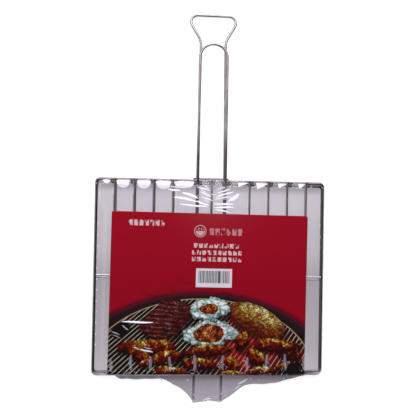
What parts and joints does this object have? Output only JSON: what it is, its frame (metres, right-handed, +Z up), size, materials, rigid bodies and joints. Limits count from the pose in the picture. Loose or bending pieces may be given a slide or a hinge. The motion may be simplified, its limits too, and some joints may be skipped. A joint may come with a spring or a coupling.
{
  "type": "grill basket",
  "caption": "Flat hinged double-leaf grill basket of plated steel wire, with a long two-loop handle, sliding lock ring, far prongs and a printed card.",
  "frame": {"origin": "on the surface the basket lies on, under the middle of its length and width", "axes": "+X across the basket, +Y along it from the far prongs towards the handle's grip, +Z up from the lower leaf to the upper leaf"},
  "size_m": [0.35, 0.592, 0.0202],
  "materials": {
    "plated_wire": "bright nickel-chrome plating over drawn steel wire",
    "handle_wire": "bright nickel-chrome plating over thick drawn steel wire",
    "ring_wire": "bright plating over bent steel wire",
    "printed_card": "glossy printed board with a food picture and no lettering",
    "shrink_film": "clear shrink film, glossy and wrinkled"
  },
  "bodies": {
    "lower_leaf": {"lower_frame": "plated_wire", "lower_grid_wire_1": "plated_wire", "lower_grid_wire_2": "plated_wire", "lower_grid_wire_3": "plated_wire", "lower_grid_wire_4": "plated_wire", "lower_grid_wire_5": "plated_wire", "lower_grid_wire_6": "plated_wire", "lower_grid_wire_7": "plated_wire", "lower_grid_wire_8": "plated_wire", "lower_grid_wire_9": "plated_wire", "lower_cross_wire": "plated_wire", "lower_handle": "handle_wire"},
    "upper_leaf": {"upper_frame": "plated_wire", "upper_grid_wire_1": "plated_wire", "upper_grid_wire_2": "plated_wire", "upper_grid_wire_3": "plated_wire", "upper_grid_wire_4": "plated_wire", "upper_grid_wire_5": "plated_wire", "upper_grid_wire_6": "plated_wire", "upper_grid_wire_7": "plated_wire", "upper_grid_wire_8": "plated_wire", "upper_grid_wire_9": "plated_wire", "upper_cross_wire": "plated_wire", "upper_handle": "handle_wire", "hinge_ring_1": "ring_wire", "hinge_ring_2": "ring_wire", "hinge_ring_3": "ring_wire", "hinge_ring_4": "ring_wire", "insert_card": "printed_card"},
    "lock_ring": {"lock_ring": "ring_wire"}
  },
  "joints": [
    {"name": "leaf_hinge", "type": "hinge", "parent": "lower_leaf", "child": "upper_leaf", "pos_m": [0, -0.25478, 0.0094], "axis": [1, 0, 0], "range_deg": [0, 95]},
    {"name": "ring_slide", "type": "slide", "parent": "lower_leaf", "child": "lock_ring", "axis": [0, 1, 0], "range_m": [0, 0.21]}
  ]
}
